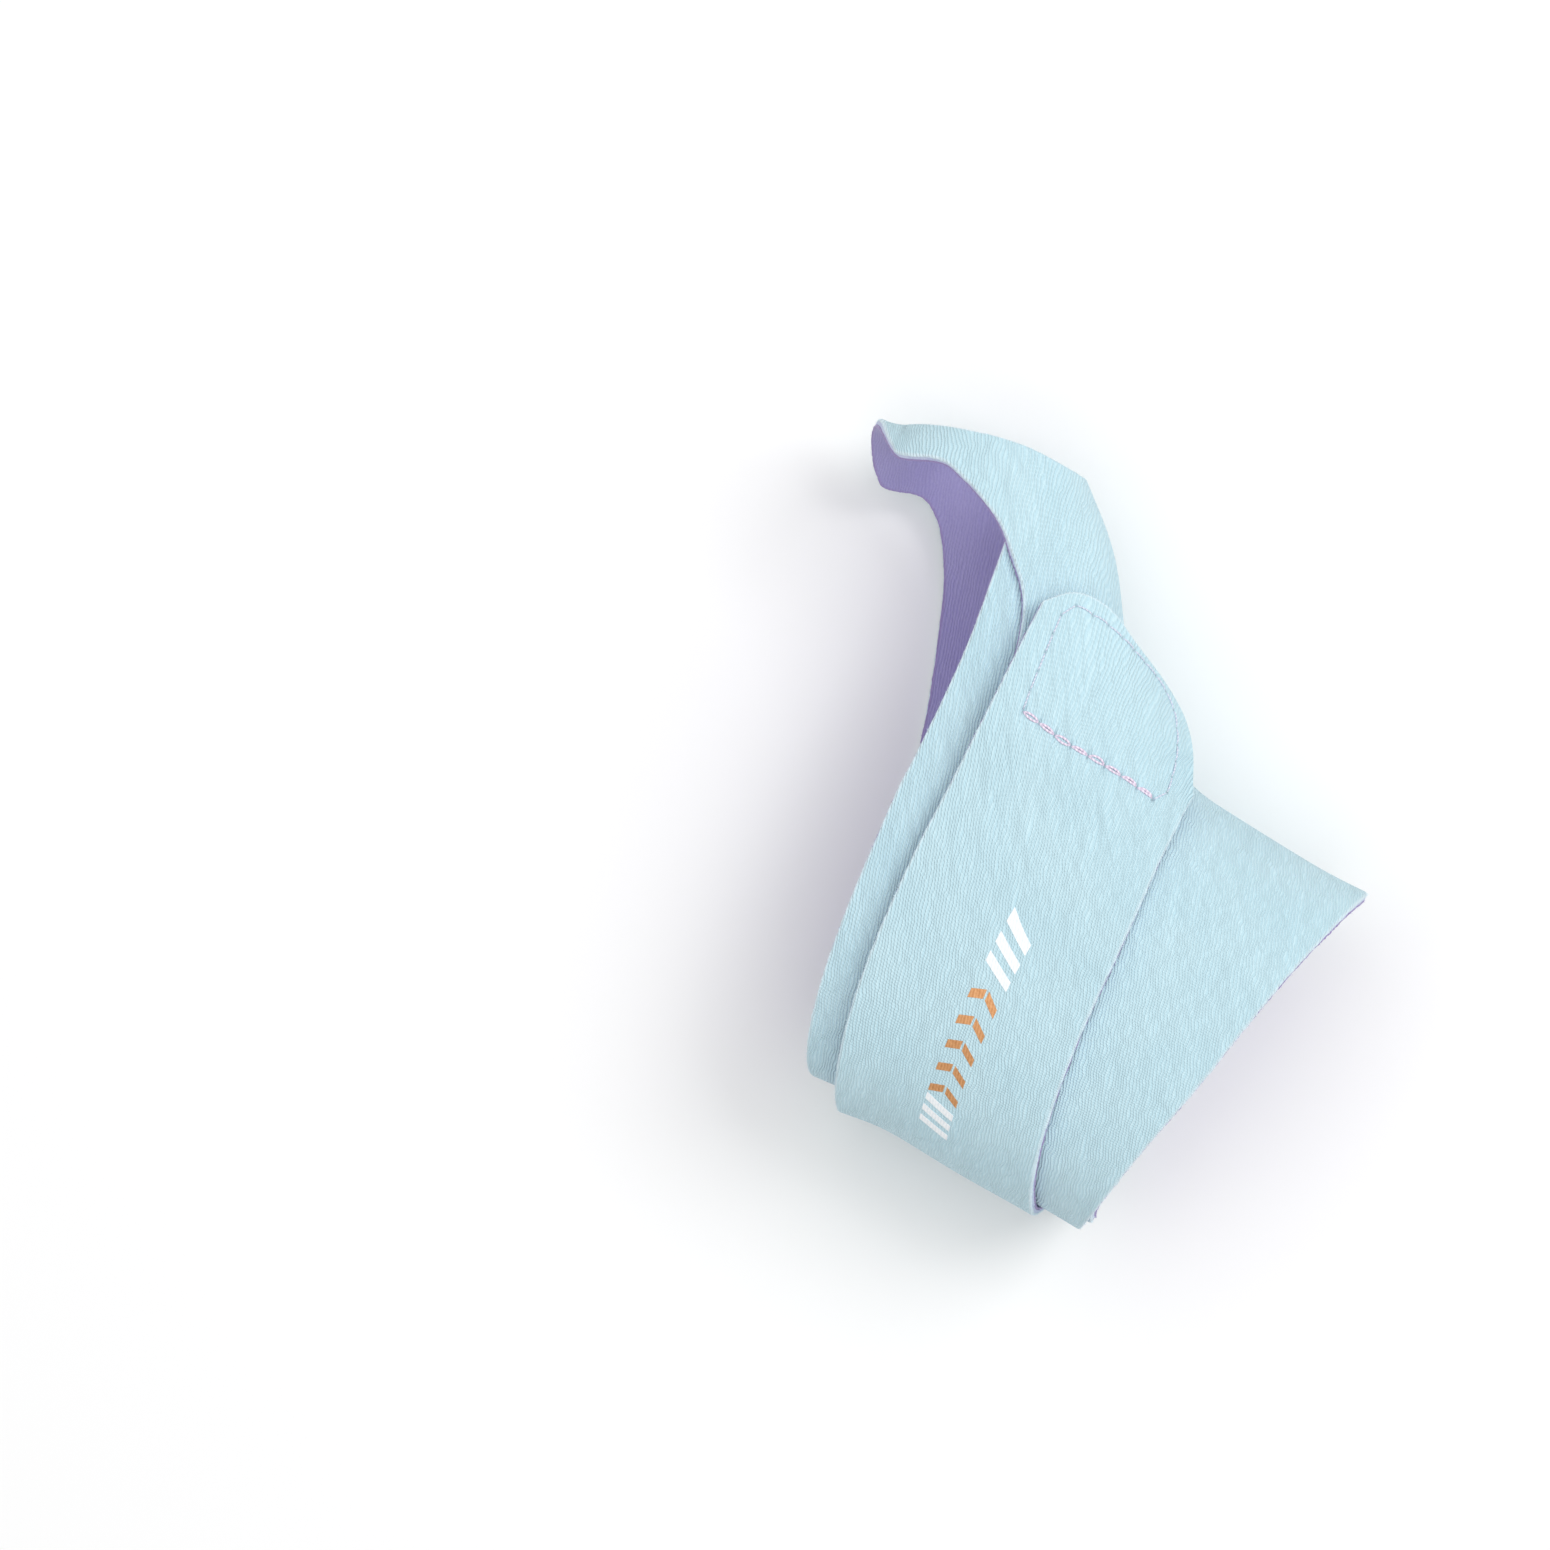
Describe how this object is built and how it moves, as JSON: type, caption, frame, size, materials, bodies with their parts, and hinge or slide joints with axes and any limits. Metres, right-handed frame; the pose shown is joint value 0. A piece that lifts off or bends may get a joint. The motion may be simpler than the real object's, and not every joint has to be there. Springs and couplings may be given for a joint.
{
  "type": "wrist wrap",
  "caption": "Soft laminated elastic wrist wrap with a thumb opening, wound round the wrist and closed over the back of the hand by a strap with a rounded hook tab.",
  "frame": {"origin": "centre of the flat palm side that the wrap rests on, under the wrist crease", "axes": "+X towards the thumb, +Y towards the fingers, +Z out of the back of the hand"},
  "size_m": [0.0937, 0.0946, 0.0442],
  "materials": {
    "cover_knit": "fine rib knit, matt with a soft sheen",
    "foam_core": "closed fine foam, matt",
    "lining_knit": "brushed knit, matt",
    "hook_tape": "woven nylon with moulded hooks",
    "thread": "filament sewing thread",
    "white_print": "satin heat transfer film",
    "copper_print": "satin metallic heat transfer film"
  },
  "bodies": {
    "wrap": {"wrap_cover": "cover_knit", "wrap_core": "foam_core", "wrap_lining": "lining_knit"},
    "strap": {"strap_cover": "cover_knit", "strap_core": "foam_core", "strap_lining": "lining_knit", "print_white": "white_print", "print_copper": "copper_print"},
    "tab": {"tab_cover": "cover_knit", "tab_core": "foam_core", "tab_lining": "lining_knit", "hook_backing": "hook_tape", "hook_field": "hook_tape", "outline_stitching": "thread", "cross_stitching": "thread"}
  },
  "joints": [
    {"name": "strap_lift", "type": "hinge", "parent": "wrap", "child": "strap", "pos_m": [-0.032, 0.00242, 0.0297], "axis": [0.0737, -0.9961, 0.0484], "range_deg": [0, 95]},
    {"name": "tab_peel", "type": "hinge", "parent": "strap", "child": "tab", "pos_m": [0.02521, 0.01521, 0.04066], "axis": [0.0345, -0.9936, -0.1076], "range_deg": [0, 110]}
  ]
}
